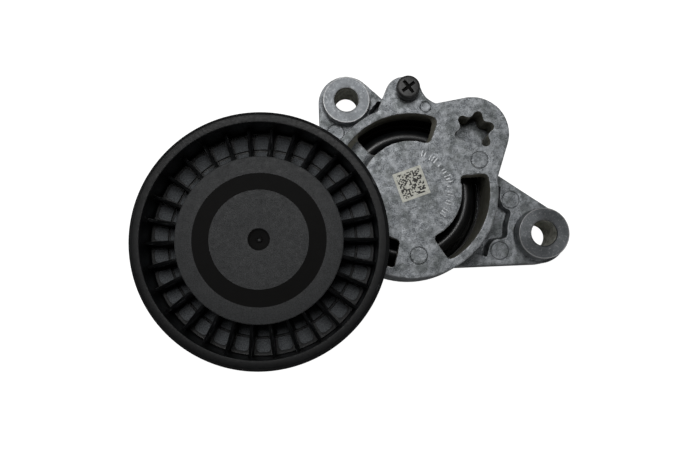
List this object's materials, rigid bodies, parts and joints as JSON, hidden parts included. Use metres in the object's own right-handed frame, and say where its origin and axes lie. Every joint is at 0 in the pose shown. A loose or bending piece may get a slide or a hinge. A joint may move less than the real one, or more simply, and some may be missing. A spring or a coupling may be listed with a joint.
{
  "type": "belt tensioner idler",
  "caption": "Automatic belt tensioner: cast aluminium base and spring-loaded arm with a smooth black idler pulley, tool socket and lock pin.",
  "frame": {"origin": "pivot axis in the plane of the rear mounting face, at the centre of the riveted end of the pivot shaft", "axes": "+Z along the pivot axis, from the engine towards the pulley's front; +X towards the right-hand mounting ear; +Y towards the lock pin"},
  "size_m": [0.142, 0.0998, 0.0514],
  "materials": {
    "cast_aluminium": "die-cast, mottled, machined bolt seats",
    "steel": "zinc-plated",
    "bearing_steel": "ground and polished",
    "spring_paint": "glossy black",
    "pulley_polyamide": "moulded, satin, worn rim edge",
    "cap_plastic": "fine moulded grain",
    "pin_plastic": "moulded",
    "bush_polymer": "plain bearing polymer",
    "seal_rubber": "moulded"
  },
  "bodies": {
    "base": {"base_housing": "cast_aluminium", "pivot_bush": "bush_polymer", "thrust_washer": "bush_polymer", "friction_ring": "bush_polymer", "torsion_spring": "spring_paint"},
    "arm": {"tension_arm": "cast_aluminium", "pivot_shaft": "steel", "retaining_plate": "steel", "rear_dust_shield": "steel", "bearing_inner_ring": "bearing_steel", "clamp_washer": "steel", "pulley_bolt": "steel"},
    "pulley": {"pulley_rim": "pulley_polyamide", "bearing_outer_ring": "bearing_steel", "rear_seal": "seal_rubber", "front_seal": "seal_rubber", "dust_cap": "cap_plastic"},
    "cage": {"ball_cage": "steel", "bearing_ball_1": "bearing_steel", "bearing_ball_2": "bearing_steel", "bearing_ball_3": "bearing_steel", "bearing_ball_4": "bearing_steel", "bearing_ball_5": "bearing_steel", "bearing_ball_6": "bearing_steel", "bearing_ball_7": "bearing_steel", "bearing_ball_8": "bearing_steel"},
    "pin": {"lock_pin": "pin_plastic"}
  },
  "joints": [
    {"name": "arm_pivot", "type": "hinge", "parent": "base", "child": "arm", "pos_m": [0, 0, 0], "axis": [0, 0, 1], "range_deg": [-35, 10], "stiffness_Nm_per_rad": 15},
    {"name": "pulley_spin", "type": "hinge", "parent": "arm", "child": "pulley", "pos_m": [-0.0474, -0.0178, 0], "axis": [0, 0, 1], "continuous": true},
    {"name": "cage_spin", "type": "hinge", "parent": "arm", "child": "cage", "pos_m": [-0.0474, -0.0178, 0], "axis": [0, 0, 1], "continuous": true},
    {"name": "lock_pin_pull", "type": "slide", "parent": "arm", "child": "pin", "axis": [0, 0, 1], "range_m": [0, 0.02]}
  ],
  "couplings": [
    {"joint": "cage_spin", "follows": "pulley_spin", "ratio": 0.618}
  ]
}
